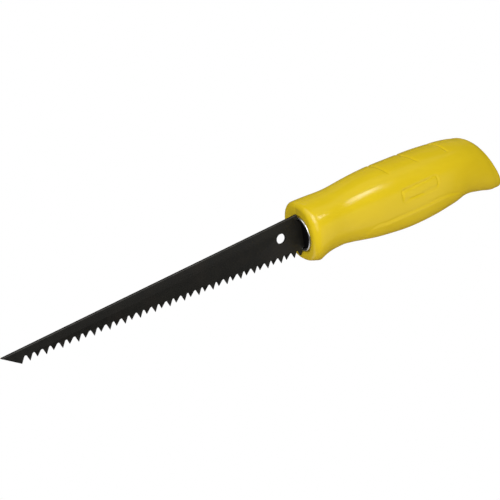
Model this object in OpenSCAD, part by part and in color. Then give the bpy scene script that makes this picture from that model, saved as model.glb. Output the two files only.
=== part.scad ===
// Drywall jab saw: a fixed, pointed blade in a hollow handle of two screwed shells.
// Origin: centre of the hanging hole in the blade. +X runs along the tooth line towards
// the butt of the handle, +Z is up (spine side), -Y is the left side. Millimetres.

/* [Blade] */
// Distance from the hanging hole to the blade's point
point_x = 140.4; // [136:0.2:141]
// Height of the point below the hanging hole
point_drop = 6.1; // [5:0.1:7]
// Blade thickness
blade_t = 1.5; // [1.2:0.1:2]
// Slope of the spine against the tooth line, in degrees
spine_slope = 5.69; // [5.5:0.05:5.9]
// Height of the spine above the hanging hole
spine_rise = 7.9; // [7.4:0.1:8.4]
// Chamfer along both edges of the spine
spine_chamfer = 0.25; // [0.1:0.05:0.5]
// Diameter of the hanging hole
hang_hole_d = 5.0; // [4:0.5:6]

/* [Teeth] */
// Distance from one tooth point to the next
tooth_pitch = 3.72; // [3.6:0.02:3.8]
// Depth of the gullets
tooth_depth = 3.0; // [2:0.1:3]
// Height of the tooth points below the hanging hole
tooth_drop = 11.6; // [11:0.1:12]
// Distance from the hanging hole to the first tooth point
first_tooth_x = 132.45; // [132:0.05:133.5]
// Number of teeth
tooth_count = 39; // [30:1:39]
// Radius at the bottom of a gullet
gullet_r = 0.7; // [0.3:0.1:0.7]
// How far a gullet's bottom lies behind the middle between its two tooth points
gullet_shift = 0.4; // [0:0.1:0.5]
// Flat left on a tooth point
tooth_flat = 0.16; // [0.1:0.02:0.3]

/* [Tang] */
// Height of the tang where it passes through the ferrule
tang_h = 13.6; // [12:0.2:14.4]
// Height of the tang's rear part
tang_rear_h = 9; // [8:0.5:10]
// Where the tang narrows
tang_step_x = 60; // [56:1:64]
// Rear end of the tang
tang_end_x = 90; // [86:1:94]
// Diameter of the cross pins that hold the tang
pin_d = 4; // [3:0.5:5]
// Length of the cross pins
pin_len = 19; // [14:1:20]
// Places of the cross pins along the handle
pin_x = [52, 82];

/* [Ferrule and guide] */
// Outer diameter of the steel ferrule
ferrule_d = 17.6; // [17:0.1:18]
// Wall of the ferrule
ferrule_wall = 0.8; // [0.6:0.1:1]
// Length of the ferrule
ferrule_len = 28; // [22:1:30]
// How far the guide's face lies behind the ferrule's rim
guide_recess = 1.2; // [0.5:0.1:3]

/* [Handle] */
// Front face of the handle
nose_x = 10.4; // [10.4:0.1:10.8]
// Radius that rounds the front edge of the handle
nose_round = 2.2; // [1.5:0.1:2.6]
// Drop of the collar's lip below the grip, at the front
collar_drop = 2.9; // [1:0.1:3.5]
// Wall of the shells
wall = 2.8; // [2.4:0.1:3.2]
// Fullness of the grip's cross-section: 2 is an ellipse
section_power = 2.4; // [2:0.1:3]

/* [Screws] */
// Thread diameter of the self-tapping screws
screw_d = 3.5; // [3:0.1:4]
// Length of the screws under the head
screw_len = 13; // [10:1:14]
// Diameter of the pan heads
head_d = 6.4; // [6:0.1:6.8]
// Height of the pan heads
head_h = 2.3; // [2:0.1:2.6]
// Depth of the head's seat in the right shell, from the parting plane
seat_y = 6.5; // [6:0.1:7]

/* [Hidden] */
$fn = 64;
eps = 0.01;

YELLOW = [0.86, 0.71, 0.10];
BLACK_STEEL = [0.07, 0.07, 0.07];
NYLON = [0.05, 0.05, 0.06];
STEEL = [0.72, 0.72, 0.74];

// Height of the blade's and the ferrule's common centre line
axis_z = -1.3;
// Half the side of what is cut away, larger than the handle's half width and height
reach = 25;
// Free play between pieces that are assembled without force
play = 0.05;
// Gap between the blade's shoulders and the front face of the handle
shoulder_gap = 0.2;

// The grip's outline. Each row is one slanted station: its nominal place, x and z on the
// crest, x and z on the belly, and the half width. Between rows it runs as a smooth curve.
GRIP = [
    [ 10.4,  10.4, 14.1,  10.4, -15.3, 14.8],
    [ 20.0,  20.0, 14.5,  20.0, -12.2, 14.9],
    [ 30.0,  30.0, 15.0,  30.0, -12.7, 14.2],
    [ 42.0,  42.0, 16.8,  42.0, -14.3, 14.2],
    [ 55.0,  55.0, 18.2,  55.0, -15.6, 14.9],
    [ 70.0,  70.0, 18.8,  70.0, -16.3, 15.3],
    [ 84.0,  84.0, 19.1,  85.0, -15.1, 15.4],
    [ 96.0,  94.5, 18.8,  97.5, -13.0, 15.0],
    [106.0, 101.8, 18.5, 108.0, -11.4, 14.2],
    [114.0, 108.5, 17.6, 117.5, -12.8, 13.2],
    [119.0, 114.0, 16.1, 126.5, -14.5, 12.0],
    [123.0, 118.0, 11.5, 130.3, -12.0, 10.0],
    [125.0, 122.3,  4.4, 127.1,  -5.1,  6.0]
];
grip_end = GRIP[len(GRIP) - 1][0];
// The collar's lip grows out of the belly from the first place to the second, its sharp
// edge, and fades out at the third
collar_x = [13, 15.9, 30];

// Stations of the outer skin: close together where it curves most
skin_stations = concat(
    [for (k = [0:4]) nose_x + nose_round * (1 - cos(k * 22.5))],
    [14.2, collar_x[1], 17.4, 20, 23, 26],
    [for (s = [collar_x[2]:4:102]) s],
    [for (s = [105:2.5:117.5]) s],
    [for (s = [119:1:grip_end]) s]
);
skin_steps = 48;
// Stations of the cavity, which stays one wall inside the skin
cavity_stations = concat([14.6, 19, 24, 30], [for (s = [36:6:108]) s], [112, 115, 118]);
cavity_steps = 28;

// Slope of the curve through column c of the outline at row i
function slope_at(c, i) =
    let (n = len(GRIP) - 1)
    i == 0 ? chord(c, 0)
    : i == n ? chord(c, n - 1)
    : (span(i) * chord(c, i - 1) + span(i - 1) * chord(c, i)) / (span(i) + span(i - 1));
function span(i) = GRIP[i + 1][0] - GRIP[i][0];
function chord(c, i) = (GRIP[i + 1][c] - GRIP[i][c]) / span(i);
function row_of(s, i = 0) = i >= len(GRIP) - 2 || s < GRIP[i + 1][0] ? i : row_of(s, i + 1);

// Cubic curve through column c of the outline, at station s
function curve(c, s) =
    let (i = row_of(s), h = span(i), t = (s - GRIP[i][0]) / h)
    (2 * pow(t, 3) - 3 * t * t + 1) * GRIP[i][c] + (pow(t, 3) - 2 * t * t + t) * h * slope_at(c, i)
    + (3 * t * t - 2 * pow(t, 3)) * GRIP[i + 1][c] + (pow(t, 3) - t * t) * h * slope_at(c, i + 1);

// How far the rounded front edge pulls the skin in, at station s
function nose_inset(s) =
    let (d = max(0, 1 - (s - nose_x) / nose_round))
    nose_round * (1 - sqrt(max(0, 1 - d * d)));
function collar(s) =
    let (growth = (s - collar_x[0]) / (collar_x[1] - collar_x[0]),
         fade = (collar_x[2] - s) / (collar_x[2] - collar_x[1]))
    collar_drop * max(0, min(growth, fade));
function power(v) = sign(v) * pow(abs(v), 2 / section_power);

// A point of the section at station s and angle a, moved inward by inset
function section_point(s, a, inset, with_collar) =
    let (rise = power(sin(a)),
         cut = inset + nose_inset(s),
         x_mid = (curve(1, s) + curve(3, s)) / 2,
         x_half = (curve(1, s) - curve(3, s)) / 2,
         z_mid = (curve(2, s) + curve(4, s)) / 2,
         z_half = (curve(2, s) - curve(4, s)) / 2,
         sag = with_collar ? collar(s) * pow(max(0, -sin(a)), 3) : 0)
    [x_mid + x_half * rise * (1 - cut / z_half),
     (curve(5, s) - cut) * power(cos(a)),
     z_mid + (z_half - cut) * rise - sag];

// Closed skin through the given stations, with steps points round each section. The points
// lie evenly on both sides of the parting plane, and none lies on it.
module loft(stations, steps, inset, with_collar) {
    last = len(stations) - 1;
    points = [for (s = stations) for (k = [0:steps - 1])
        section_point(s, (k + 0.5) * 360 / steps, inset, with_collar)];
    sides = [for (i = [0:last - 1]) for (k = [0:steps - 1])
        let (p = i * steps + k, q = i * steps + (k + 1) % steps) each
        [[p, p + steps, q], [q, p + steps, q + steps]]];
    front = [for (k = [0:steps - 1]) k];
    rear = [for (k = [steps - 1:-1:0]) last * steps + k];
    polyhedron(points, concat(sides, [front, rear]), convexity = 6);
}

// Everything on one side of the parting plane; side is 1 for the right and -1 for the left
module half_space(side) {
    translate([nose_x - reach, side > 0 ? 0 : -2 * reach, -2 * reach])
        cube([grip_end + 2 * reach, 2 * reach, 4 * reach]);
}

// Cylinder across the handle from y0 to y1, centred on place [x, z]
module cross_cyl(place, r, y0, y1) {
    translate([place[0], y1, place[1]])
        rotate([90, 0, 0])
            cylinder(r = r, h = y1 - y0);
}

// Cylinder along the ferrule's axis
module axial_cyl(x0, x1, r) {
    translate([x0, 0, axis_z])
        rotate([0, 90, 0])
            cylinder(r = r, h = x1 - x0);
}

// ---- Blade ----

shoulder_x = nose_x - shoulder_gap;
spine_tan = tan(spine_slope);
tooth_root_z = -tooth_drop + tooth_depth;
tang_top = axis_z + tang_h / 2;
tang_bottom = axis_z - tang_h / 2;
tang_play = 0.1;

// Flank angle from the vertical, so that a flank that ends run away from the centre of the
// gullet's arc touches the arc
flank_rise = tooth_depth - gullet_r;
function flank_angle(run) = acos(gullet_r / norm([run, flank_rise])) - atan2(flank_rise, run);
half_gap = (tooth_pitch - tooth_flat) / 2;
front_angle = flank_angle(half_gap + gullet_shift);
rear_angle = flank_angle(half_gap - gullet_shift);
arc_steps = 6;

function tooth_x(i) = i * tooth_pitch - first_tooth_x;

// Points of tooth i's tip and of the gullet behind it
function tooth_points(i) = concat(
    [[tooth_x(i) - tooth_flat / 2, -tooth_drop], [tooth_x(i) + tooth_flat / 2, -tooth_drop]],
    [for (k = [0:arc_steps])
        let (a = 180 - front_angle - k * (180 - front_angle - rear_angle) / arc_steps)
        [tooth_x(i) + tooth_pitch / 2 + gullet_shift + gullet_r * cos(a),
         tooth_root_z - gullet_r + gullet_r * sin(a)]]);

heel_i = tooth_count - 1;
heel_tip = [tooth_x(heel_i) + tooth_flat / 2, -tooth_drop];
heel_end_z = min(-tooth_drop + (shoulder_x - heel_tip[0]) / tan(front_angle), tooth_root_z);

module blade_outline() {
    polygon(concat(
        [[-point_x, -point_drop]],
        [for (i = [0:heel_i - 1]) each tooth_points(i)],
        [[tooth_x(heel_i) - tooth_flat / 2, -tooth_drop], heel_tip,
         [shoulder_x, heel_end_z],
         [shoulder_x, tang_bottom],
         [tang_step_x, tang_bottom],
         [tang_step_x + (tang_h - tang_rear_h) / 2, axis_z - tang_rear_h / 2],
         [tang_end_x, axis_z - tang_rear_h / 2],
         [tang_end_x, axis_z + tang_rear_h / 2],
         [tang_step_x + (tang_h - tang_rear_h) / 2, axis_z + tang_rear_h / 2],
         [tang_step_x, tang_top],
         [shoulder_x, tang_top],
         [shoulder_x, spine_rise + shoulder_x * spine_tan]]));
}

// Grinding cut that slopes one face of tooth i towards its point on the other face
module tooth_grind(i) {
    face = i % 2 == 0 ? 1 : -1;
    tip_y = blade_t / 2 - 0.1;
    out_y = blade_t / 2 + 1;
    translate([tooth_x(i) - tooth_pitch / 2, 0, 0])
        rotate([90, 0, 90])
            linear_extrude(tooth_pitch)
                polygon([[-face * blade_t / 2, tooth_root_z],
                         [face * tip_y, -tooth_drop],
                         [face * (tip_y + 0.2), -tooth_drop - 1],
                         [-face * out_y, -tooth_drop - 1],
                         [-face * out_y, tooth_root_z]]);
}

// Square bar that chamfers the spine's edge on one face, all the way from the point
module spine_cut(face) {
    side = sqrt(2) * spine_chamfer;
    translate([0, face * blade_t / 2, spine_rise])
        rotate([0, -spine_slope, 0])
            rotate([45, 0, 0])
                cube([2 * point_x + reach, side, side], center = true);
}

module blade() {
    color(BLACK_STEEL)
        difference() {
            translate([0, blade_t / 2, 0])
                rotate([90, 0, 0])
                    linear_extrude(blade_t)
                        blade_outline();
            cross_cyl([0, 0], hang_hole_d / 2, -blade_t, blade_t);
            for (x = pin_x)
                cross_cyl([x, axis_z], pin_d / 2 + play, -blade_t, blade_t);
            for (i = [1:heel_i - 1])
                tooth_grind(i);
            for (face = [-1, 1])
                spine_cut(face);
        }
}

// ---- Ferrule, guide and pins ----

ferrule_r = ferrule_d / 2;
ferrule_end_x = nose_x + ferrule_len;
guide_r = ferrule_r - ferrule_wall - play;
guide_gap = blade_t / 2 + play;
lip_steps = 8;

module nose_ferrule() {
    lip_r = ferrule_wall / 2;
    color(STEEL)
        translate([nose_x, 0, axis_z])
            rotate([0, 90, 0])
                rotate_extrude()
                    polygon(concat(
                        [for (k = [0:lip_steps])
                            let (a = 180 + k * 180 / lip_steps)
                            [ferrule_r - lip_r + lip_r * cos(a), lip_r + lip_r * sin(a)]],
                        [[ferrule_r, ferrule_len],
                         [ferrule_r - ferrule_wall, ferrule_len]]));
}

module blade_guide(side) {
    color(NYLON)
        difference() {
            axial_cyl(nose_x + guide_recess, ferrule_end_x - 1, guide_r);
            translate([nose_x, side * (-guide_r - 1 + guide_gap / 2), axis_z])
                translate([ferrule_len / 2, 0, 0])
                    cube([ferrule_len + 2, 2 * guide_r + 2 + guide_gap, 2 * guide_r + 2], center = true);
        }
}

module blade_guide_left() {
    blade_guide(-1);
}

module blade_guide_right() {
    blade_guide(1);
}

module tang_pins() {
    color(STEEL)
        for (x = pin_x)
            cross_cyl([x, axis_z], pin_d / 2, -pin_len / 2, pin_len / 2);
}

// ---- Handle shells ----

// Places [x, z] of the screws
SCREWS = [[46, 10.8], [75, 12.2], [74, -10], [106, 2.5]];
rib_x = [66, 97];
rib_t = 1.8;
housing_r = ferrule_r + 1.8;
pilot_r = screw_d / 2 - 0.35;
pin_boss_r = pin_d / 2 + 2.2;
screw_boss_r = [screw_d / 2 + 1.9, head_d / 2 + 1.9];

// What the shells are hollowed by: the inner loft, less the ribs, bosses and ferrule housing
module cavity(boss_r) {
    difference() {
        loft(cavity_stations, cavity_steps, wall, false);
        axial_cyl(nose_x, ferrule_end_x + 3, housing_r);
        for (x = rib_x)
            translate([x, -reach, -reach])
                cube([rib_t, 2 * reach, 2 * reach]);
        for (x = pin_x)
            cross_cyl([x, axis_z], pin_boss_r, -reach, reach);
        for (place = SCREWS)
            cross_cyl(place, boss_r, -reach, reach);
    }
}

// Room for the tang, the pins and the ferrule between the shells
module tang_room() {
    gap = blade_t / 2 + play;
    translate([ferrule_end_x - 1, -gap, tang_bottom - tang_play])
        cube([tang_end_x - ferrule_end_x + 2, 2 * gap, tang_h + 2 * tang_play]);
    for (x = pin_x)
        cross_cyl([x, axis_z], pin_d / 2 + play, -pin_len / 2 - play, pin_len / 2 + play);
    axial_cyl(nose_x - 1, ferrule_end_x + play, ferrule_r + play);
}

module handle_shell_left() {
    color(YELLOW)
        difference() {
            loft(skin_stations, skin_steps, 0, true);
            half_space(1);
            cavity(screw_boss_r[0]);
            tang_room();
            for (place = SCREWS)
                cross_cyl(place, pilot_r, seat_y - screw_len - 1, eps);
        }
}

module handle_shell_right() {
    clearance_r = screw_d / 2 + 0.2;
    head_room_r = head_d / 2 + 0.3;
    color(YELLOW)
        difference() {
            loft(skin_stations, skin_steps, 0, true);
            half_space(-1);
            cavity(screw_boss_r[1]);
            tang_room();
            for (place = SCREWS) {
                cross_cyl(place, clearance_r, -eps, seat_y + eps);
                cross_cyl(place, head_room_r, seat_y, reach);
            }
        }
}

// ---- Screws ----

thread_pitch = 1.3;
thread_turns = 8;

// Half profile of a self-tapping screw, tip at the bottom, head on top
module screw_profile() {
    root_r = screw_d / 2 - 0.45;
    crest_r = screw_d / 2;
    tip_h = 1.4;
    threads = [for (k = [0:thread_turns - 1]) each
        [[root_r, tip_h + k * thread_pitch],
         [crest_r, tip_h + (k + 0.5) * thread_pitch],
         [root_r, tip_h + (k + 0.7) * thread_pitch]]];
    polygon(concat(
        [[0, 0]],
        threads,
        [[root_r, screw_len],
         [head_d / 2, screw_len],
         [head_d / 2, screw_len + head_h * 0.6],
         [head_d / 2 - 0.9, screw_len + head_h],
         [0, screw_len + head_h]]));
}

module screw() {
    slot_w = 0.9;
    slot_l = 3.8;
    slot_depth = 1.3;
    difference() {
        rotate_extrude()
            screw_profile();
        for (a = [0, 90])
            rotate([0, 0, a])
                translate([-slot_l / 2, -slot_w / 2, screw_len + head_h - slot_depth])
                    cube([slot_l, slot_w, slot_depth + 1]);
    }
}

module shell_screws() {
    color(STEEL)
        for (place = SCREWS)
            translate([place[0], seat_y - screw_len, place[1]])
                rotate([-90, 0, 0])
                    screw();
}

blade();
nose_ferrule();
blade_guide_left();
blade_guide_right();
tang_pins();
handle_shell_left();
handle_shell_right();
shell_screws();
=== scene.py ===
import math

import bmesh
import bpy
import numpy as np
from mathutils import Matrix, Vector


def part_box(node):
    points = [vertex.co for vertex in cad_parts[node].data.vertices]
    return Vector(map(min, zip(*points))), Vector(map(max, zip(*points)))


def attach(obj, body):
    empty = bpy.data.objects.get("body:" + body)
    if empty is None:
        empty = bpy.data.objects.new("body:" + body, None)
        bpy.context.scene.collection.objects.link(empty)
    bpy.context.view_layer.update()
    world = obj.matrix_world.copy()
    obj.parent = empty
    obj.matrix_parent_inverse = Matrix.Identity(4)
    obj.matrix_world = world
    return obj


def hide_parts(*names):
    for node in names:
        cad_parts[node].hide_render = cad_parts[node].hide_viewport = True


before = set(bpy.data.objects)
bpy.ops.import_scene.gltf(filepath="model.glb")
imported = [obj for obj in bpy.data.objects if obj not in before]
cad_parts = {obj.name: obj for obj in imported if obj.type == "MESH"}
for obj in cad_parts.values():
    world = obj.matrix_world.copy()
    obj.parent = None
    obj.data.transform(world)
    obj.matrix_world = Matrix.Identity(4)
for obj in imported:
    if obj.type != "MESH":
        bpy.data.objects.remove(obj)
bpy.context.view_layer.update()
MM = 0.001
# Corners of faces closer than this, in metres, are the same
SAME_PLACE = 1e-6

# ---------------------------------------------------------------- places taken from the frame


def cad_mesh(node):
    """The mesh of a CAD node, in metres, with the corners of its faces joined."""
    bm = bmesh.new()
    bm.from_mesh(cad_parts[node].data)
    bmesh.ops.remove_doubles(bm, verts=bm.verts, dist=SAME_PLACE)
    return bm


def solid_boxes(node):
    """Lowest and highest corner of each separate solid of a CAD node, in mm, in order of X."""
    bm = cad_mesh(node)
    boxes, seen = [], set()
    for seed in bm.verts:
        if seed in seen:
            continue
        seen.add(seed)
        front, points = [seed], []
        while front:
            vert = front.pop()
            points.append(vert.co / MM)
            near = {edge.other_vert(vert) for edge in vert.link_edges} - seen
            seen |= near
            front.extend(near)
        points = np.array(points)
        boxes.append((points.min(0), points.max(0)))
    bm.free()
    return sorted(boxes, key=lambda box: box[0][0])


def corners(node):
    """Lowest and highest corner of a CAD node, in mm."""
    low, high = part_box(node)
    return np.array(low) / MM, np.array(high) / MM


def middles(boxes):
    """Places of cross bars, as x and z, from the boxes of their solids."""
    return [((low + high) / 2)[[0, 2]] for low, high in boxes]


# Sizes that the nodes' boxes don't show, the same as in the CAD part
FERRULE_WALL = 0.8
TANG_HALF = 6.8
PLAY = 0.05
HEAD_H = 2.3
SCREW_R = 1.75

shell_low = corners("handle_shell_left")[0]
ferrule_low, ferrule_high = corners("nose_ferrule")
guide_low, guide_high = corners("blade_guide_left")
blade_low, blade_high = corners("blade")
NOSE_X = shell_low[0]
AXIS_Z = (ferrule_low[2] + ferrule_high[2]) / 2
FERRULE_R = (ferrule_high[2] - ferrule_low[2]) / 2
FERRULE_END = ferrule_high[0]
BLADE_T = blade_high[1] - blade_low[1]
blade_points = [vert.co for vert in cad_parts["blade"].data.vertices]
SPINE_POINT = min(blade_points, key=lambda co: co.x)
SPINE_END = max(blade_points, key=lambda co: co.z)
SPINE_ANGLE = math.atan2(SPINE_END.z - SPINE_POINT.z, SPINE_END.x - SPINE_POINT.x)
TANG_END = blade_high[0]
pins = solid_boxes("tang_pins")
screws = solid_boxes("shell_screws")
PIN_PLACES = middles(pins)
SCREW_PLACES = middles(screws)
PIN_R = (pins[0][1][2] - pins[0][0][2]) / 2
PIN_END = pins[0][1][1]
HEAD_R = (screws[0][1][2] - screws[0][0][2]) / 2
SCREW_TIP, SCREW_TOP = screws[0][0][1], screws[0][1][1]
SEAT_Y = SCREW_TOP - HEAD_H

# ---------------------------------------------------------------- the grip's surface, in mm

# One row per slanted station: its nominal place, x and z on the crest, x and z on the belly,
# and the half width. These rows are the same as the CAD handle's.
GRIP = np.array([
    [10.4, 10.4, 14.1, 10.4, -15.3, 14.8],
    [20.0, 20.0, 14.5, 20.0, -12.2, 14.9],
    [30.0, 30.0, 15.0, 30.0, -12.7, 14.2],
    [42.0, 42.0, 16.8, 42.0, -14.3, 14.2],
    [55.0, 55.0, 18.2, 55.0, -15.6, 14.9],
    [70.0, 70.0, 18.8, 70.0, -16.3, 15.3],
    [84.0, 84.0, 19.1, 85.0, -15.1, 15.4],
    [96.0, 94.5, 18.8, 97.5, -13.0, 15.0],
    [106.0, 101.8, 18.5, 108.0, -11.4, 14.2],
    [114.0, 108.5, 17.6, 117.5, -12.8, 13.2],
    [119.0, 114.0, 16.1, 126.5, -14.5, 12.0],
    [123.0, 118.0, 11.5, 130.3, -12.0, 10.0],
    [125.0, 122.3, 4.4, 127.1, -5.1, 6.0],
])
GRIP_END = GRIP[-1, 0]
SECTION_POWER = 2.4
# Rounding of the front edge: its length on the crest and belly, what the sides add to that,
# and the share of the added length by which they also pull in
NOSE_ROUND = 2.2
SIDE_ROUND = 2.6
SIDE_PULL = 0.45
MOUTH_R = FERRULE_R + PLAY
MOUTH_ROUND = 1.7
# The collar's lip starts at the first place, is deepest at the second and ends at the third
COLLAR_X = (12.0, 15.9, 30.0)
COLLAR_DROP = 2.9
WALL = 2.8


def smooth_curve(xs, ys, s):
    """Smooth cubic curve through the points xs, ys, at the places s."""
    step = np.diff(xs)
    chord = np.diff(ys) / step
    slope = np.empty_like(ys)
    slope[0], slope[-1] = chord[0], chord[-1]
    slope[1:-1] = (step[1:] * chord[:-1] + step[:-1] * chord[1:]) / (step[1:] + step[:-1])
    i = np.clip(np.searchsorted(xs, s, side="right") - 1, 0, len(step) - 1)
    t = (s - xs[i]) / step[i]
    start = (2 * t**3 - 3 * t**2 + 1) * ys[i] + (t**3 - 2 * t**2 + t) * step[i] * slope[i]
    end = (3 * t**2 - 2 * t**3) * ys[i + 1] + (t**3 - t**2) * step[i] * slope[i + 1]
    return start + end


def curve(column, s):
    """One column of GRIP as a smooth curve, at stations s."""
    return smooth_curve(GRIP[:, 0], GRIP[:, column], s)


def power(v):
    """Turns a sine or cosine into that of the grip's fuller section."""
    return np.sign(v) * np.abs(v) ** (2 / SECTION_POWER)


def smoothstep(low, high, v):
    """0 at low and short of it, rising smoothly to 1 at high and past it."""
    t = np.clip((v - low) / (high - low), 0, 1)
    return t * t * (3 - 2 * t)


def hump(v, half_width):
    """1 at v = 0, falling smoothly to 0 at half_width on both sides."""
    return np.clip(1 - (v / half_width) ** 2, 0, 1) ** 2


def collar(s):
    """Drop of the lip under the front of the grip, at stations s."""
    growth = (s - COLLAR_X[0]) / (COLLAR_X[1] - COLLAR_X[0])
    fade = (COLLAR_X[2] - s) / (COLLAR_X[2] - COLLAR_X[1])
    return COLLAR_DROP * np.clip(np.minimum(growth, fade), 0, 1)


def skin(s, a, inset=0.0, with_collar=True):
    """Points of the plain grip at stations s and section angles a, both arrays, in mm."""
    s, a = np.broadcast_arrays(s, a)
    d = np.clip(1 - (s - NOSE_X) / (NOSE_ROUND + SIDE_ROUND * np.cos(a) ** 2), 0, 1)
    depth = NOSE_ROUND + SIDE_PULL * SIDE_ROUND * np.cos(a) ** 2
    cut = inset + depth * (1 - np.sqrt(1 - d * d))
    rise = power(np.sin(a))
    x_mid, x_half = (curve(1, s) + curve(3, s)) / 2, (curve(1, s) - curve(3, s)) / 2
    z_mid, z_half = (curve(2, s) + curve(4, s)) / 2, (curve(2, s) - curve(4, s)) / 2
    sag = with_collar * collar(s) * np.clip(-np.sin(a), 0, 1) ** 3
    return np.stack([x_mid + x_half * rise * (1 - cut / z_half),
                     (curve(5, s) - cut) * power(np.cos(a)),
                     z_mid + (z_half - cut) * rise - sag], -1)


def skin_normals(s, a):
    """Outward normals of the plain grip at stations s and angles a."""
    ds, da = 0.02, math.radians(0.4)
    along = skin(np.minimum(s + ds, GRIP_END), a) - skin(np.maximum(s - ds, NOSE_X), a)
    round_ = skin(s, a + da) - skin(s, a - da)
    normal = np.cross(round_, along)
    return normal / np.linalg.norm(normal, axis=-1, keepdims=True)


# ---------------------------------------------------------------- relief on the grip, in mm

# Crest grooves: x on the centre line, and how fast each bends back with y squared
GROOVES = [(57.9, 0.016), (74.9, 0.03), (95.2, 0.005)]
GROOVE_DEPTH = 0.5
GROOVE_HALF = 1.2
# Between these distances from the centre plane the grooves fade out
GROOVE_FADE = (7.5, 10.5)
# The crease over each belly pad, as x and z
CREASE = np.array([[38, -13], [43, -7.4], [53, -6.0], [65, -4.95], [77, -4.1], [86, -3.5],
                   [93, -4.1], [98, -5.6], [101, -7.3], [104, -11]], float)
CREASE_DEPTH = 0.15
CREASE_HALF = 0.7
CREASE_SHIFT = 0.35
PAD_RISE = 0.45
PAD_ROUND = 1.1
# Where a pad fades in, from the crease's front end, and out, from its rear end
PAD_FADE_IN = (-2, 14)
PAD_FADE_OUT = (-8, 1)
# The blank panel with an engraved outline on the left side: centre x and z, half length and
# half height, and its slope
PANEL = (72.8, 5.1)
PANEL_HALF = (10.8, 2.6)
PANEL_SLOPE = math.radians(4.5)
PANEL_CORNER = 1.2
PANEL_RISE = 0.04
PANEL_ROUND = 0.8
PANEL_GROOVE = 0.38
PANEL_GROOVE_HALF = 0.75
PANEL_GROOVE_SHIFT = 0.1
BEAD_X = 14.2
BEAD_HALF = 3.5
BEAD_RISE = 0.06
WAIST_X = 32.0
WAIST_HALF = 18.0
WAIST_DEPTH = 0.6
# Distance from the centre plane at which the bead and the waist reach their full size
NOSE_SIDE_Y = 12
PART_LINE_DEPTH = 0.12
PART_LINE_HALF = 0.25
HEAD_PLAY = 0.3
HOLE_R = HEAD_R + HEAD_PLAY
HOLE_RIM = 0.8
HOLE_RIM_DEPTH = 0.35


def groove_relief(p):
    """The three grooves across the crest."""
    depth = 0
    for x0, bend in GROOVES:
        depth = np.maximum(depth, hump(p[..., 0] - x0 - bend * p[..., 1] ** 2, GROOVE_HALF))
    fade = 1 - smoothstep(*GROOVE_FADE, np.abs(p[..., 1]))
    return -GROOVE_DEPTH * depth * fade * (p[..., 2] > 0)


def pad_relief(p):
    """The raised pads on both sides of the belly, with a fine groove along their crease."""
    start, end = CREASE[0, 0], CREASE[-1, 0]
    line = smooth_curve(CREASE[:, 0], CREASE[:, 1], np.clip(p[..., 0], start, end))
    below = line - p[..., 2]
    inside = smoothstep(start + PAD_FADE_IN[0], start + PAD_FADE_IN[1], p[..., 0])
    inside = inside * (1 - smoothstep(end + PAD_FADE_OUT[0], end + PAD_FADE_OUT[1], p[..., 0]))
    groove = CREASE_DEPTH * hump(below + CREASE_SHIFT, CREASE_HALF)
    return inside * (PAD_RISE * smoothstep(0, PAD_ROUND, below) - groove)


def panel_relief(p):
    """The blank panel on the left side: a slightly raised field in an engraved outline."""
    x, z = p[..., 0] - PANEL[0], p[..., 2] - PANEL[1]
    u = x * math.cos(PANEL_SLOPE) + z * math.sin(PANEL_SLOPE)
    v = z * math.cos(PANEL_SLOPE) - x * math.sin(PANEL_SLOPE)
    qu = np.maximum(np.abs(u) - PANEL_HALF[0] + PANEL_CORNER, 0)
    qv = np.maximum(np.abs(v) - PANEL_HALF[1] + PANEL_CORNER, 0)
    outside = np.hypot(qu, qv) - PANEL_CORNER
    raised = PANEL_RISE * (1 - smoothstep(-PANEL_ROUND, 0, outside))
    groove = PANEL_GROOVE * hump(outside - PANEL_GROOVE_SHIFT, PANEL_GROOVE_HALF)
    return (p[..., 1] < 0) * (raised - groove)


def nose_relief(p):
    """The faint bead behind the rounded front edge, and the shallow waist behind it."""
    side = np.clip(np.abs(p[..., 1]) / NOSE_SIDE_Y, 0, 1) ** 2
    bead = BEAD_RISE * hump(p[..., 0] - BEAD_X, BEAD_HALF)
    return side * (bead - WAIST_DEPTH * hump(p[..., 0] - WAIST_X, WAIST_HALF))


def hole_relief(p):
    """Softly sunk rims round the screw holes of the right shell."""
    depth = 0
    for x, z in SCREW_PLACES:
        gap = np.hypot(p[..., 0] - x, p[..., 2] - z) - HOLE_R
        depth = np.maximum(depth, 1 - smoothstep(0, HOLE_RIM, gap))
    return -HOLE_RIM_DEPTH * depth * (p[..., 1] > 0)


def part_line_relief(p):
    """The fine line where the two shells meet."""
    return -PART_LINE_DEPTH * np.clip(1 - np.abs(p[..., 1]) / PART_LINE_HALF, 0, 1)


# ---------------------------------------------------------------- mesh tools


def mesh_object(name, bm):
    """New object in the scene from a bmesh, which is then freed."""
    mesh = bpy.data.meshes.new(name)
    bm.to_mesh(mesh)
    bm.free()
    item = bpy.data.objects.new(name, mesh)
    bpy.context.collection.objects.link(item)
    return item


def grid_solid(name, points, ring=False):
    """Closed solid from rows of points, each row a loop, with ends capped or joined in a ring."""
    rows, cols = points.shape[:2]
    row = np.arange(rows if ring else rows - 1)[:, None]
    col = np.arange(cols)[None, :]
    after, beside = (row + 1) % rows, (col + 1) % cols
    quads = np.stack([row * cols + col, row * cols + beside,
                      after * cols + beside, after * cols + col], -1).reshape(-1, 4).tolist()
    if not ring:
        quads.append(list(range(cols))[::-1])
        quads.append(list(range((rows - 1) * cols, rows * cols)))
    mesh = bpy.data.meshes.new(name)
    mesh.from_pydata(points.reshape(-1, 3).tolist(), [], quads)
    bm = bmesh.new()
    bm.from_mesh(mesh)
    bpy.data.meshes.remove(mesh)
    if bm.calc_volume(signed=True) < 0:
        bmesh.ops.reverse_faces(bm, faces=bm.faces)
    return mesh_object(name, bm)


def turned(profile, steps):
    """Rows of points round the X axis, from pairs of place and radius."""
    profile = np.array(profile, float)
    angle = np.arange(steps) * 2 * math.pi / steps
    along = np.broadcast_to(profile[:, :1], (len(profile), steps))
    return np.stack([along, profile[:, 1:] * np.cos(angle), profile[:, 1:] * np.sin(angle)], -1)


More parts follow.
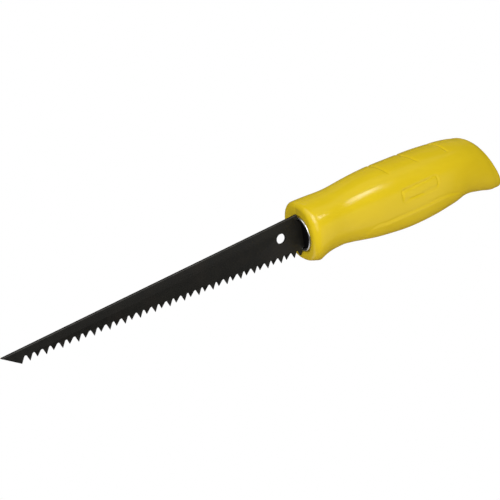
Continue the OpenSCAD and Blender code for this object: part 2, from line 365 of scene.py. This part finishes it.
def along_y(points, place):
    """Turns points made round the X axis to lie round the Y axis at place (x, z)."""
    return np.stack([place[0] + points[..., 1], points[..., 0], place[1] + points[..., 2]], -1)


def along_x(points):
    """Moves points made round the X axis to the ferrule's axis."""
    return points + np.array([0, 0, AXIS_Z])


def cross_bar(place, r, y0, y1, steps=48):
    """Cylinder across the grip from y0 to y1 at place (x, z)."""
    return grid_solid("cutter", along_y(turned([(y0, r), (y1, r)], steps), place))


def block(x0, x1, y0, y1, z0, z1):
    """Box between the given places."""
    bm = bmesh.new()
    bmesh.ops.create_cube(bm, size=1)
    bmesh.ops.scale(bm, vec=(x1 - x0, y1 - y0, z1 - z0), verts=bm.verts)
    bmesh.ops.translate(bm, vec=((x0 + x1) / 2, (y0 + y1) / 2, (z0 + z1) / 2), verts=bm.verts)
    return mesh_object("cutter", bm)


def cut_away(target, *tools):
    """Cuts the tools from the target, and removes them."""
    for tool in tools:
        modifier = target.modifiers.new("cut", "BOOLEAN")
        modifier.operation = "DIFFERENCE"
        modifier.solver = "MANIFOLD"
        modifier.object = tool
        bpy.context.view_layer.update()
        graph = bpy.context.evaluated_depsgraph_get()
        mesh = bpy.data.meshes.new_from_object(target.evaluated_get(graph))
        target.modifiers.remove(modifier)
        target.data = mesh
        bpy.data.objects.remove(tool)
    return target


def finish_piece(item, name, node_name, material, sharp=35):
    """Scales a piece made in mm to metres, sets its shading and ties it to the frame."""
    item.name = name
    item.data.name = name
    item.data.transform(Matrix.Scale(MM, 4))
    item.data.materials.clear()
    item.data.materials.append(material)
    item.data.shade_smooth()
    item.data.set_sharp_from_angle(angle=math.radians(sharp))
    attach(item, "root")
    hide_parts(node_name)


# ---------------------------------------------------------------- materials

# Colours are linear red, green and blue, and alpha
YELLOW_DEEP = (0.735, 0.530, 0.010, 1)
YELLOW_PALE = (0.780, 0.570, 0.013, 1)
YELLOW_RUBBED = (0.79, 0.62, 0.06, 1)
OXIDE_DARK = (0.0040, 0.0036, 0.0022, 1)
OXIDE_LIGHT = (0.0085, 0.0074, 0.0044, 1)
OXIDE_BROWN = (0.0110, 0.0080, 0.0050, 1)
TOOTH_STEEL = (0.10, 0.10, 0.095, 1)
# Colour of the spine's band: rubbed steel, lightened further as a painted highlight of its edge
SPINE_WEAR_AND_HIGHLIGHT_COLOUR = (0.10, 0.096, 0.085, 1)
NYLON_DARK = (0.002, 0.002, 0.002, 1)
NYLON_LIGHT = (0.004, 0.0035, 0.004, 1)
# Height above the tooth points up to which the blade's coating is worn, in mm
WORN_HEIGHT = 2.2
# The lighter band along the spine, rubbed steel plus a painted highlight of its edge, in mm
# below its top: where it starts, is full, starts to fade and ends
SPINE_WEAR_AND_HIGHLIGHT_BAND = (0.45, 0.3, 0.1, 0.02)


def feed(tree, socket, value):
    """Links value to the socket if it comes from another node, or else sets it there."""
    if isinstance(value, bpy.types.NodeSocket):
        tree.links.new(value, socket)
    else:
        socket.default_value = value


def add_node(tree, kind, inputs=None, **settings):
    """New shader node with its settings made and its inputs, by name or number, fed."""
    made = tree.nodes.new("ShaderNode" + kind)
    for key, value in settings.items():
        setattr(made, key, value)
    for key, value in (inputs or {}).items():
        feed(tree, made.inputs[key], value)
    return made


def new_material(name, **constants):
    """New material with constants on its shader, and its tree, shader and object place."""
    material = bpy.data.materials.new(name)
    material.use_nodes = True
    tree = material.node_tree
    shader = tree.nodes["Principled BSDF"]
    for key, value in constants.items():
        shader.inputs[key.replace("_", " ")].default_value = value
    place = add_node(tree, "TexCoord").outputs["Object"]
    return material, tree, shader, place


def noise(tree, place, scale, detail=3.0, roughness=0.5, stretch=(1, 1, 1)):
    """Noise from 0 to 1 with features of about 1 / scale metres, stretched along each axis."""
    if stretch != (1, 1, 1):
        squeeze = tuple(1 / v for v in stretch)
        mapping = add_node(tree, "Mapping", {"Vector": place, "Scale": squeeze})
        place = mapping.outputs["Vector"]
    made = add_node(tree, "TexNoise", {"Vector": place, "Scale": scale, "Detail": detail,
                                       "Roughness": roughness})
    return made.outputs["Fac"]


def spread(tree, value, low, high, to_low=0.0, to_high=1.0):
    """value rescaled so that low to high becomes to_low to to_high."""
    made = add_node(tree, "MapRange", {"Value": value, "From Min": low, "From Max": high,
                                       "To Min": to_low, "To Max": to_high})
    return made.outputs["Result"]


def blend_colours(tree, share, first, second):
    """The first colour where share is 0 and the second where it is 1."""
    made = add_node(tree, "Mix", data_type="RGBA")
    sockets = [s for s in made.inputs if s.enabled]
    for socket, value in zip(sockets, (share, first, second)):
        feed(tree, socket, value)
    return [s for s in made.outputs if s.enabled][0]


def product(tree, a, b):
    """a times b, each a number or another node's output."""
    return add_node(tree, "Math", {0: a, 1: b}, operation="MULTIPLY").outputs[0]


def total(tree, a, b):
    """a plus b, each a number or another node's output."""
    return add_node(tree, "Math", {0: a, 1: b}, operation="ADD").outputs[0]


def bump(tree, height, distance, strength, under=None):
    """Normal of a surface raised by distance, in metres, over the relief under it."""
    inputs = {"Height": height, "Distance": distance, "Strength": strength}
    if under is not None:
        inputs["Normal"] = under
    return add_node(tree, "Bump", inputs).outputs["Normal"]


def handle_plastic():
    """Glossy moulded yellow plastic: flow clouds, fine orange peel, faint rubbed streaks."""
    material, tree, shader, place = new_material(
        "moulded_yellow_plastic", Specular_IOR_Level=0.5, IOR=1.5)
    clouds = noise(tree, place, 38, 4, 0.55, (2.2, 1, 1))
    colour = blend_colours(tree, spread(tree, clouds, 0.35, 0.65), YELLOW_DEEP, YELLOW_PALE)
    streaks = spread(tree, noise(tree, place, 900, 2, 0.5, (14, 1, 1)), 0.60, 0.72)
    patches = spread(tree, noise(tree, place, 60, 3), 0.42, 0.66)
    rubbed = product(tree, streaks, patches)
    colour = blend_colours(tree, product(tree, rubbed, 0.12), colour, YELLOW_RUBBED)
    tree.links.new(colour, shader.inputs["Base Color"])
    even = spread(tree, noise(tree, place, 130, 3), 0.3, 0.7, 0.16, 0.22)
    rough = total(tree, even, product(tree, rubbed, 0.08))
    tree.links.new(rough, shader.inputs["Roughness"])
    peel = bump(tree, noise(tree, place, 1500, 2), 0.00002, 0.5)
    waves = bump(tree, noise(tree, place, 170, 1), 0.00006, 0.35, peel)
    scratches = bump(tree, rubbed, 0.000006, 0.3, waves)
    tree.links.new(scratches, shader.inputs["Normal"])
    return material


def blade_steel():
    """Black-oxide spring steel: satin, brushed along the blade, rubbed at the teeth, and rubbed
    with a painted highlight along the spine.
    """
    material, tree, shader, place = new_material("black_oxide_steel", Specular_IOR_Level=0.5)
    brush = noise(tree, place, 2600, 3, 0.6, (26, 1, 1))
    mottle = noise(tree, place, 210, 5, 0.62)
    blotch = noise(tree, place, 55, 3)
    colour = blend_colours(tree, spread(tree, mottle, 0.3, 0.7), OXIDE_DARK, OXIDE_LIGHT)
    brown = spread(tree, blotch, 0.5, 0.68, 0, 0.6)
    colour = blend_colours(tree, brown, colour, OXIDE_BROWN)
    height = add_node(tree, "SeparateXYZ", {0: place}).outputs["Z"]
    low = spread(tree, height, (blade_low[2] + WORN_HEIGHT) * MM, blade_low[2] * MM)
    worn = product(tree, low, spread(tree, mottle, 0.5, 0.72))
    colour = blend_colours(tree, product(tree, worn, 0.5), colour, TOOTH_STEEL)
    # Band along the spine: partly rubbed steel, partly a painted highlight of the spine's edge
    turn = add_node(tree, "VectorRotate", {"Vector": place, "Center": tuple(SPINE_POINT),
                                           "Angle": SPINE_ANGLE}, rotation_type="Y_AXIS")
    rise = add_node(tree, "SeparateXYZ", {0: turn.outputs[0]}).outputs["Z"]
    start, full, fade, end = (SPINE_POINT.z - depth * MM for depth in SPINE_WEAR_AND_HIGHLIGHT_BAND)
    edge = product(tree, spread(tree, rise, start, full), spread(tree, rise, end, fade))
    rubbed = product(tree, edge, spread(tree, mottle, 0.25, 0.6, 0.45, 1))
    colour = blend_colours(tree, product(tree, rubbed, 0.5), colour, SPINE_WEAR_AND_HIGHLIGHT_COLOUR)
    tree.links.new(colour, shader.inputs["Base Color"])
    rough = spread(tree, mottle, 0.3, 0.7, 0.44, 0.58)
    tree.links.new(rough, shader.inputs["Roughness"])
    grain = bump(tree, brush, 0.000012, 0.6)
    pits = bump(tree, spread(tree, noise(tree, place, 1300, 2), 0.66, 0.74), 0.00002, 0.3, grain)
    tree.links.new(pits, shader.inputs["Normal"])
    return material


def turned_steel(name, colour_low, colour_high, rough_low, rough_high, grain):
    """Bright metal with fine tool marks and a slightly uneven plating."""
    material, tree, shader, place = new_material(name, Metallic=1.0)
    uneven = noise(tree, place, 160, 4, 0.6)
    colour = blend_colours(tree, spread(tree, uneven, 0.3, 0.7), colour_low, colour_high)
    tree.links.new(colour, shader.inputs["Base Color"])
    marks = noise(tree, place, 3200, 2, 0.5, grain)
    tree.links.new(spread(tree, marks, 0.3, 0.7, rough_low, rough_high),
                   shader.inputs["Roughness"])
    tree.links.new(bump(tree, marks, 0.000008, 0.5), shader.inputs["Normal"])
    return material


def nylon_black():
    """Black moulded nylon with a fine spark-eroded grain."""
    material, tree, shader, place = new_material("black_nylon", Specular_IOR_Level=0.12)
    clouds = noise(tree, place, 90, 3)
    colour = blend_colours(tree, clouds, NYLON_DARK, NYLON_LIGHT)
    tree.links.new(colour, shader.inputs["Base Color"])
    tree.links.new(spread(tree, clouds, 0.3, 0.7, 0.42, 0.56), shader.inputs["Roughness"])
    grain = bump(tree, noise(tree, place, 2400, 2), 0.00002, 0.5)
    tree.links.new(grain, shader.inputs["Normal"])
    return material


YELLOW = handle_plastic()
BLACK_STEEL = blade_steel()
NYLON = nylon_black()
BRIGHT_STEEL = turned_steel("bright_turned_steel", (0.78, 0.78, 0.77, 1), (0.86, 0.86, 0.85, 1),
                            0.16, 0.30, (0.2, 8, 8))
PIN_STEEL = turned_steel("ground_pin_steel", (0.48, 0.48, 0.48, 1), (0.60, 0.59, 0.58, 1),
                         0.22, 0.34, (6, 0.2, 6))
SCREW_STEEL = turned_steel("zinc_plated_steel", (0.50, 0.50, 0.50, 1), (0.63, 0.62, 0.56, 1),
                           0.24, 0.42, (1, 1, 1))

# ---------------------------------------------------------------- handle shells

# The skin's stations are SKIN_STEP apart up to SKIN_END, and BUTT_STEP from BUTT_START on
SKIN_STEP = 0.42
SKIN_END = 117.6
BUTT_START = 118
BUTT_STEP = 0.25
SKIN_COLUMNS = 112
# Extra section angles that shape the parting line, in degrees
PART_LINE_ANGLES = (89.03, 89.58, 89.83)
# The butt's face: its rise in the middle, and the sizes of the rings that close it
BUTT_CROWN = 0.3
BUTT_RINGS = (0.92, 0.8, 0.64, 0.46, 0.28, 0.12)
# Stations of the hollow in the shells
ROOM_STATIONS = (14.6, 19, 24, *range(28, 117, 3), 118)
ROOM_STEPS = 48
RIB_X = (66.0, 97.0)
RIB_T = 1.8
HOUSING_WALL = 1.8
HOUSING_END = FERRULE_END + 3
PIN_BOSS_WALL = 2.2
SCREW_BOSS_WALL = 1.9
TANG_PLAY = 0.1
# The screws' threads bite into the left shell, and pass the right one freely
THREAD_BITE = 0.35
SCREW_PLAY = 0.2
# How far cutters go on past what they cut, and by how little one runs into the next
OVERCUT = 1
OVERLAP = 0.01
# A size larger than the grip's half width and height
REACH = 30.0


def skin_stations():
    """Stations of the outside, closer together on the rounded front edge and at the butt."""
    rounding = NOSE_X + NOSE_ROUND * (1 - np.cos(np.radians(np.arange(0, 90, 9))))
    middle = np.arange(NOSE_X + NOSE_ROUND, SKIN_END, SKIN_STEP)
    butt = np.arange(BUTT_START, GRIP_END + BUTT_STEP / 2, BUTT_STEP)
    return np.concatenate([rounding, middle, butt])


def section_angles():
    """Angles from belly to crest, closer together at the parting plane."""
    even = np.linspace(-90, 90, SKIN_COLUMNS + 1)
    extra = np.array(PART_LINE_ANGLES)
    return np.radians(np.sort(np.concatenate([even, extra, -extra])))


def outer_half(side):
    """Half of the grip's outside, as a closed solid; side is 1 for right and -1 for left."""
    s, a = skin_stations()[:, None], section_angles()[None, :]
    p = skin(s, a)
    p[..., 1] *= side
    p[:, [0, -1], 1] = 0
    n = skin_normals(s, a)
    n[..., 1] *= side
    relief = groove_relief(p) + pad_relief(p) + panel_relief(p) + nose_relief(p) + hole_relief(p)
    p = p + n * (relief + part_line_relief(p))[..., None]
    p[:, [0, -1], 1] = 0
    ring = p[-1]
    centre = (ring[0] + ring[-1]) / 2
    slant = ring[-1] - ring[0]
    out = np.array([slant[2], 0, -slant[0]]) / np.linalg.norm(slant)
    shrink = np.array(BUTT_RINGS)[:, None, None]
    crown = centre + (ring - centre) * shrink + out * BUTT_CROWN * (1 - shrink**2)
    return grid_solid("shell", np.concatenate([p, crown]))


def inner_room(boss_r):
    """What hollows the shells: one wall inside the skin, less ribs, bosses and housing."""
    stations = np.array(ROOM_STATIONS)[:, None]
    angles = np.radians((np.arange(ROOM_STEPS) + 0.5) * 360 / ROOM_STEPS)[None, :]
    room = grid_solid("room", skin(stations, angles, WALL, False))
    housing_r = FERRULE_R + HOUSING_WALL
    housing = along_x(turned([(NOSE_X, housing_r), (HOUSING_END, housing_r)], 64))
    ribs = [block(x, x + RIB_T, -REACH, REACH, -REACH, REACH) for x in RIB_X]
    bosses = [cross_bar(place, PIN_R + PIN_BOSS_WALL, -REACH, REACH) for place in PIN_PLACES]
    bosses += [cross_bar(place, boss_r, -REACH, REACH) for place in SCREW_PLACES]
    return cut_away(room, grid_solid("housing", housing), *ribs, *bosses)


def mouth_cutter():
    """The ferrule's bore with a rounded mouth."""
    turn = np.radians(np.linspace(0, 90, 9))
    flare = [(NOSE_X + MOUTH_ROUND * (1 - math.cos(t)), MOUTH_R + MOUTH_ROUND * (1 - math.sin(t)))
             for t in turn]
    start = (NOSE_X - OVERCUT, MOUTH_R + MOUTH_ROUND)
    profile = [start] + flare + [(FERRULE_END + PLAY, MOUTH_R)]
    return grid_solid("mouth", along_x(turned(profile, 128)))


def tang_cutters():
    """What makes room for the ferrule, the tang and its pins."""
    gap = BLADE_T / 2 + PLAY
    tang = block(FERRULE_END - OVERCUT, TANG_END + OVERCUT, -gap, gap,
                 AXIS_Z - TANG_HALF - TANG_PLAY, AXIS_Z + TANG_HALF + TANG_PLAY)
    pin_holes = [cross_bar(place, PIN_R + PLAY, -PIN_END - PLAY, PIN_END + PLAY)
                 for place in PIN_PLACES]
    return [mouth_cutter(), tang] + pin_holes


def shell(side):
    """One shell: 1 for the right, which takes the screws' heads, and -1 for the left."""
    if side < 0:
        boss_r = SCREW_R + SCREW_BOSS_WALL
        holes = [cross_bar(place, SCREW_R - THREAD_BITE, SCREW_TIP - OVERCUT, OVERCUT)
                 for place in SCREW_PLACES]
    else:
        boss_r = HEAD_R + SCREW_BOSS_WALL
        holes = [cross_bar(place, SCREW_R + SCREW_PLAY, -OVERCUT, SEAT_Y + OVERLAP)
                 for place in SCREW_PLACES]
        holes += [cross_bar(place, HOLE_R, SEAT_Y, REACH, 64) for place in SCREW_PLACES]
    return cut_away(outer_half(side), inner_room(boss_r), *tang_cutters(), *holes)


finish_piece(shell(-1), "handle_left", "handle_shell_left", YELLOW)
finish_piece(shell(1), "handle_right", "handle_shell_right", YELLOW)

# ---------------------------------------------------------------- blade

EDGE_BREAK = 0.09
# Faces that meet at less than the first are joined to one, and the hole's edges are sharper
# than the second
FLAT_ANGLE = math.radians(0.3)
SHARP_ANGLE = math.radians(45)
# Circle round the hanging hole, at the origin, that holds its edges and no others
HANG_HOLE_REACH = 3.5


def saw_blade():
    """The CAD blade with clean flat faces and its hanging hole's edges broken."""
    bm = cad_mesh("blade")
    bmesh.ops.scale(bm, vec=(1 / MM,) * 3, verts=bm.verts)
    bmesh.ops.dissolve_limit(bm, angle_limit=FLAT_ANGLE, verts=bm.verts, edges=bm.edges)
    rim = [e for e in bm.edges if e.calc_face_angle(0) > SHARP_ANGLE
           and all(math.hypot(v.co.x, v.co.z) < HANG_HOLE_REACH for v in e.verts)]
    bmesh.ops.bevel(bm, geom=rim, offset=EDGE_BREAK, segments=2, profile=0.5, affect="EDGES")
    return mesh_object("blade", bm)


finish_piece(saw_blade(), "saw_blade", "blade", BLACK_STEEL, 25)

# ---------------------------------------------------------------- ferrule, guide and pins

# Radius of the ferrule's rolled lip, and where its curl ends, in degrees past its inner side
LIP_R = 0.7
LIP_CURL = -50
FERRULE_EDGE = 0.1
# The guide's front edge is rounded in two chords that meet at the corner, its rear chamfered
GUIDE_ROUND = 0.5
GUIDE_CORNER = 0.15
GUIDE_EDGE = 0.3
PIN_EDGE = 0.3


def ferrule():
    """Drawn steel tube with a rolled lip at the mouth."""
    arc = [(NOSE_X + LIP_R - LIP_R * math.sin(t), FERRULE_R - LIP_R - LIP_R * math.cos(t))
           for t in np.radians(np.linspace(LIP_CURL, 180, 17))]
    inner = FERRULE_R - FERRULE_WALL
    profile = arc + [(FERRULE_END - FERRULE_EDGE, FERRULE_R),
                     (FERRULE_END, FERRULE_R - FERRULE_EDGE),
                     (FERRULE_END, inner), (NOSE_X + 2 * LIP_R + FERRULE_EDGE, inner)]
    return grid_solid("ferrule", along_x(turned(profile, 128)), ring=True)


def guide(side):
    """Half of the black nylon plug that holds the blade in the ferrule."""
    r = FERRULE_R - FERRULE_WALL - PLAY
    x0, x1 = guide_low[0], guide_high[0]
    front = [(x0, r - GUIDE_ROUND), (x0 + GUIDE_CORNER, r - GUIDE_CORNER), (x0 + GUIDE_ROUND, r)]
    profile = front + [(x1 - GUIDE_EDGE, r), (x1, r - GUIDE_EDGE)]
    plug = grid_solid("plug", along_x(turned(profile, 96)))
    gap = BLADE_T / 2 + PLAY
    y0, y1 = sorted((-side * REACH, side * gap))
    far = block(x0 - OVERCUT, x1 + OVERCUT, y0, y1, AXIS_Z - REACH, AXIS_Z + REACH)
    return cut_away(plug, far)


def tang_pin(place):
    """Cross pin with chamfered ends."""
    full, tip = PIN_END - PIN_EDGE, PIN_R - PIN_EDGE
    profile = [(-PIN_END, tip), (-full, PIN_R), (full, PIN_R), (PIN_END, tip)]
    return grid_solid("pin", along_y(turned(profile, 64), place))


def joined(items):
    """One object holding the meshes of several."""
    bm = bmesh.new()
    for item in items:
        bm.from_mesh(item.data)
        bpy.data.objects.remove(item)
    return mesh_object("joined", bm)


finish_piece(ferrule(), "ferrule", "nose_ferrule", BRIGHT_STEEL)
finish_piece(guide(-1), "guide_left", "blade_guide_left", NYLON)
finish_piece(guide(1), "guide_right", "blade_guide_right", NYLON)
finish_piece(joined([tang_pin(place) for place in PIN_PLACES]), "cross_pins", "tang_pins",
             PIN_STEEL)

# ---------------------------------------------------------------- screws

THREAD_PITCH = 1.3
THREAD_DEPTH = 0.45
# How steep the thread's flanks are: at 2 they would fill the whole pitch
THREAD_STEEPNESS = 3.2
# Distance between the rings of points along the thread, and the bare neck under the head
THREAD_STEP = 0.1
NECK_LEN = 0.6
# Distances under the head where the thread starts to fade and is gone
THREAD_FADE = (1.6, 0.4)
TIP_LEN = 2.2
TIP_SHARE = 0.12
# The head: height and inset of its lower edge, the height at which its dome starts, how far
# the dome draws in, and the radius of its flat top
HEAD_EDGE_H = 0.12
HEAD_EDGE_IN = 0.15
DOME_START = 0.7
DOME_IN = 1.5
DOME_TOP_R = 0.5
# The cross recess: half length and half width of each slot, its depth, and the cone at its
# centre as pairs of depth and radius
SLOT_HALVES = (1.9, 0.45)
SLOT_DEPTH = 1.3
CORE = ((1.8, 0.3), (1.2, 0.95), (-OVERCUT, 1.15))


def screw(place):
    """Self-tapping pan head screw with a helical thread and a cross recess."""
    steps = 48
    turn = np.arange(steps)[None, :] / steps
    y = np.arange(SCREW_TIP, SEAT_Y - NECK_LEN, THREAD_STEP)
    y = np.concatenate([y, [SEAT_Y - NECK_LEN / 2, SEAT_Y]])[:, None]
    root = SCREW_R - THREAD_DEPTH
    phase = ((y - SCREW_TIP) / THREAD_PITCH - turn) % 1
    crest = np.clip(1 - np.abs(phase - 0.5) * THREAD_STEEPNESS, 0, 1)
    run_out = smoothstep(SEAT_Y - THREAD_FADE[1], SEAT_Y - THREAD_FADE[0], y)
    taper = TIP_SHARE + (1 - TIP_SHARE) * smoothstep(0, 1, (y - SCREW_TIP) / TIP_LEN)
    r = (root + THREAD_DEPTH * crest * run_out) * taper
    angle = turn * 2 * math.pi
    shank = np.stack([np.broadcast_to(y, r.shape), r * np.cos(angle), r * np.sin(angle)], -1)
    dome = [(SEAT_Y, HEAD_R - HEAD_EDGE_IN), (SEAT_Y + HEAD_EDGE_H, HEAD_R)]
    dome += [(SEAT_Y + DOME_START + (HEAD_H - DOME_START) * math.sin(t),
              HEAD_R - DOME_IN * (1 - math.cos(t)))
             for t in np.radians(np.linspace(0, 90, 9))]
    dome += [(SCREW_TOP, DOME_TOP_R)]
    head = turned(dome, steps)
    body = grid_solid("screw", along_y(np.concatenate([shank, head]), place))
    x, z = place
    slots = [block(x - a, x + a, SCREW_TOP - SLOT_DEPTH, SCREW_TOP + OVERCUT, z - b, z + b)
             for a, b in (SLOT_HALVES, SLOT_HALVES[::-1])]
    core = turned([(SCREW_TOP - depth, r) for depth, r in CORE], 24)
    return cut_away(body, *slots, grid_solid("core", along_y(core, place)))


finish_piece(joined([screw(place) for place in SCREW_PLACES]), "handle_screws", "shell_screws",
             SCREW_STEEL)

# ---------------------------------------------------------------- camera, floor and light

CAMERA_PLACE = Vector((-0.2128, -0.4039, 0.1680))
CAMERA_AZIMUTH = -25.9
CAMERA_ELEVATION = 20.54
CAMERA_ROLL = -10.97
CAMERA_LENS = 74.2
CAMERA_SENSOR = 36
CAMERA_SHIFT = 0.001
FLOOR_Z = -0.30
FLOOR_HALF = 6
FLOOR_ROUGHNESS = 0.8
FLOOR_DARK = (0.68, 0.62, 0.54, 1)
FLOOR_LIGHT = (0.71, 0.65, 0.57, 1)
WHITE = (1, 1, 1, 1)
WORLD_LEVEL = 0.06
# The place that all lights are aimed at, in the front half of the grip
LIGHT_CENTRE = Vector((0.04, 0, 0))


def direction(azimuth, elevation):
    """Unit vector away from the object, in degrees; azimuth 0 is -Y and 90 is +X."""
    az, el = math.radians(azimuth), math.radians(elevation)
    return Vector((math.sin(az) * math.cos(el), -math.cos(az) * math.cos(el), math.sin(el)))


def add_camera():
    """Camera at the photo's viewing angle, rolled as the photo is."""
    back = direction(CAMERA_AZIMUTH, CAMERA_ELEVATION)
    az, roll = math.radians(CAMERA_AZIMUTH), math.radians(CAMERA_ROLL)
    level = Vector((math.cos(az), math.sin(az), 0))
    over = back.cross(level)
    right = math.cos(roll) * level + math.sin(roll) * over
    up = back.cross(right)
    data = bpy.data.cameras.new("camera")
    data.lens = CAMERA_LENS
    data.sensor_width = CAMERA_SENSOR
    data.shift_x = -CAMERA_SHIFT
    data.shift_y = CAMERA_SHIFT
    camera = bpy.data.objects.new("camera", data)
    turn = Matrix((right, up, back)).transposed().to_4x4()
    camera.matrix_world = Matrix.Translation(CAMERA_PLACE) @ turn
    bpy.context.collection.objects.link(camera)
    bpy.context.scene.camera = camera


def add_softbox(name, azimuth, elevation, distance, size, watts, glossy=True):
    """Square soft light; glossy says whether it also shows in reflections."""
    data = bpy.data.lights.new(name, "AREA")
    data.size = size
    data.energy = watts
    lamp = bpy.data.objects.new(name, data)
    aim = direction(azimuth, elevation)
    lamp.location = LIGHT_CENTRE + aim * distance
    lamp.rotation_mode = "QUATERNION"
    lamp.rotation_quaternion = aim.to_track_quat("Z", "Y")
    lamp.visible_glossy = glossy
    bpy.context.collection.objects.link(lamp)


def white_to_camera(tree, shaded, white):
    """Shader that is plain white where it is seen directly and shaded for all other light."""
    path = add_node(tree, "LightPath").outputs["Is Camera Ray"]
    return add_node(tree, "MixShader", {0: path, 1: shaded, 2: white}).outputs[0]


def add_floor():
    """Plain pale floor, white where the camera sees it and left out of reflections."""
    bm = bmesh.new()
    bmesh.ops.create_grid(bm, x_segments=8, y_segments=8, size=FLOOR_HALF)
    floor = mesh_object("floor", bm)
    floor.location.z = FLOOR_Z
    floor.visible_glossy = False
    material, tree, shader, place = new_material("pale_floor", Roughness=FLOOR_ROUGHNESS)
    shade = blend_colours(tree, noise(tree, place, 30), FLOOR_DARK, FLOOR_LIGHT)
    tree.links.new(shade, shader.inputs["Base Color"])
    white = add_node(tree, "Emission", {"Color": WHITE, "Strength": 1.0}).outputs[0]
    seen = white_to_camera(tree, shader.outputs[0], white)
    tree.links.new(seen, tree.nodes["Material Output"].inputs["Surface"])
    floor.data.materials.append(material)


def add_world():
    """Dim even light from all round, white where the camera sees past the floor."""
    world = bpy.data.worlds.new("studio")
    bpy.context.scene.world = world
    world.use_nodes = True
    tree = world.node_tree
    soft = tree.nodes["Background"]
    soft.inputs["Strength"].default_value = WORLD_LEVEL
    soft.inputs["Color"].default_value = WHITE
    white = add_node(tree, "Background", {"Color": WHITE, "Strength": 1.0}).outputs[0]
    seen = white_to_camera(tree, soft.outputs[0], white)
    tree.links.new(seen, tree.nodes["World Output"].inputs["Surface"])


add_camera()
add_floor()
add_world()
# Name, azimuth and elevation in degrees, distance and size in metres, and watts
add_softbox("key", -37, 35, 1.2, 0.7, 6.9)
add_softbox("left_low", -95, 34, 0.9, 0.5, 0.45)
add_softbox("front_low", -30, 8, 1.2, 0.7, 2.0)
add_softbox("left_high", -90, 60, 1.2, 0.7, 1.9)
add_softbox("right_high", 55, 60, 1.2, 0.7, 0.5)
add_softbox("top", -27, 55, 1.2, 0.3, 0.8)
add_softbox("band", 20, 38, 1.2, 0.4, 1.0)
add_softbox("glint", 22, 38.7, 0.25, 0.035, 0.032)
add_softbox("glow", -32, 35, 0.15, 0.1, 0.028, False)
add_softbox("back_right", 120, 20, 1.2, 0.7, 5.0, False)
add_softbox("back_left", 165, 30, 1.2, 0.7, 5.0, False)
add_softbox("bounce", 20, -23, 0.436, 0.4, 0.21)
add_softbox("rim_low", -112, -42, 0.3, 0.2, 0.085)
add_softbox("below", 60, -50, 0.25, 0.3, 0.1, False)
bpy.context.scene.view_settings.view_transform = "Standard"
